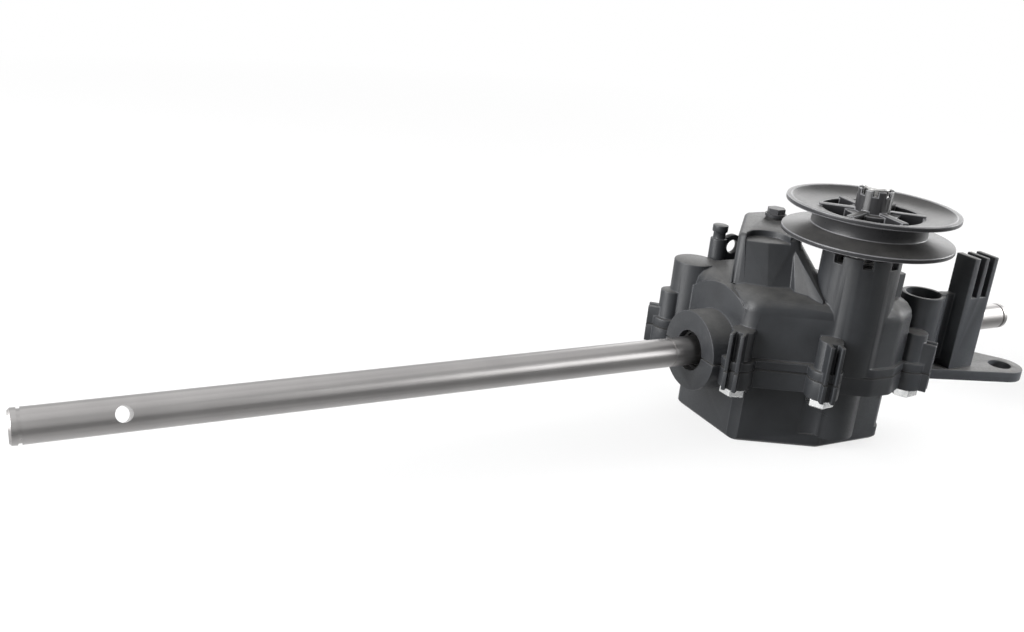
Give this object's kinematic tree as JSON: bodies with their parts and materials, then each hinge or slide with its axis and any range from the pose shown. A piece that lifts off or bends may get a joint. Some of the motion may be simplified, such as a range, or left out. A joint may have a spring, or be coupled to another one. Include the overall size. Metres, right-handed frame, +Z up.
{
  "type": "worm drive gearbox",
  "caption": "Worm drive gearbox in a split moulded casing, with an upright belt pulley and a long plain cross axle.",
  "frame": {"origin": "on the axle's axis, in the plane of the input shaft", "axes": "+X along the axle to its short end, +Y to the rear, +Z up along the input shaft"},
  "size_m": [0.444, 0.1073, 0.111],
  "materials": {
    "housing": "moulded, faintly grained",
    "pulley": "moulded, satin",
    "steel": "drawn bar, lengthwise streaks",
    "dark_steel": "phosphated",
    "zinc": "bright zinc plate",
    "bearing_steel": "ground",
    "bronze": "bearing bronze",
    "rubber": "nitrile",
    "nylon": "natural nylon of the ball cage"
  },
  "bodies": {
    "casing": {"lower_housing": "housing", "upper_housing": "housing", "housing_gasket": "rubber", "housing_screws": "zinc", "left_bush": "bronze", "right_bush": "bronze", "left_axle_seal": "rubber", "right_axle_seal": "rubber", "left_thrust_washer": "steel", "right_thrust_washer": "steel", "lower_bush": "bronze", "lower_thrust_washer": "steel", "bearing_outer_race": "bearing_steel", "bearing_clip": "dark_steel", "input_seal": "rubber", "filler_plug": "pulley", "plug_seal": "rubber"},
    "axle_set": {"axle": "steel", "left_spacer": "steel", "right_spacer": "steel", "worm_wheel": "bronze", "wheel_hub": "dark_steel", "wheel_key": "steel", "wheel_clips": "dark_steel"},
    "input_set": {"input_shaft": "steel", "worm": "steel", "worm_pin": "dark_steel", "bearing_inner_race": "bearing_steel", "bearing_balls": "bearing_steel", "bearing_cage": "nylon", "input_sleeve": "steel", "pulley": "pulley", "pulley_key": "steel", "pulley_washer": "zinc", "pulley_clip": "zinc"}
  },
  "joints": [
    {"name": "input_spin", "type": "hinge", "parent": "casing", "child": "input_set", "pos_m": [0, -0.0292, 0], "axis": [0, 0, 1], "continuous": true},
    {"name": "axle_spin", "type": "hinge", "parent": "casing", "child": "axle_set", "pos_m": [0, 0, 0], "axis": [1, 0, 0], "continuous": true}
  ],
  "couplings": [
    {"joint": "axle_spin", "follows": "input_spin", "ratio": 0.055556}
  ]
}
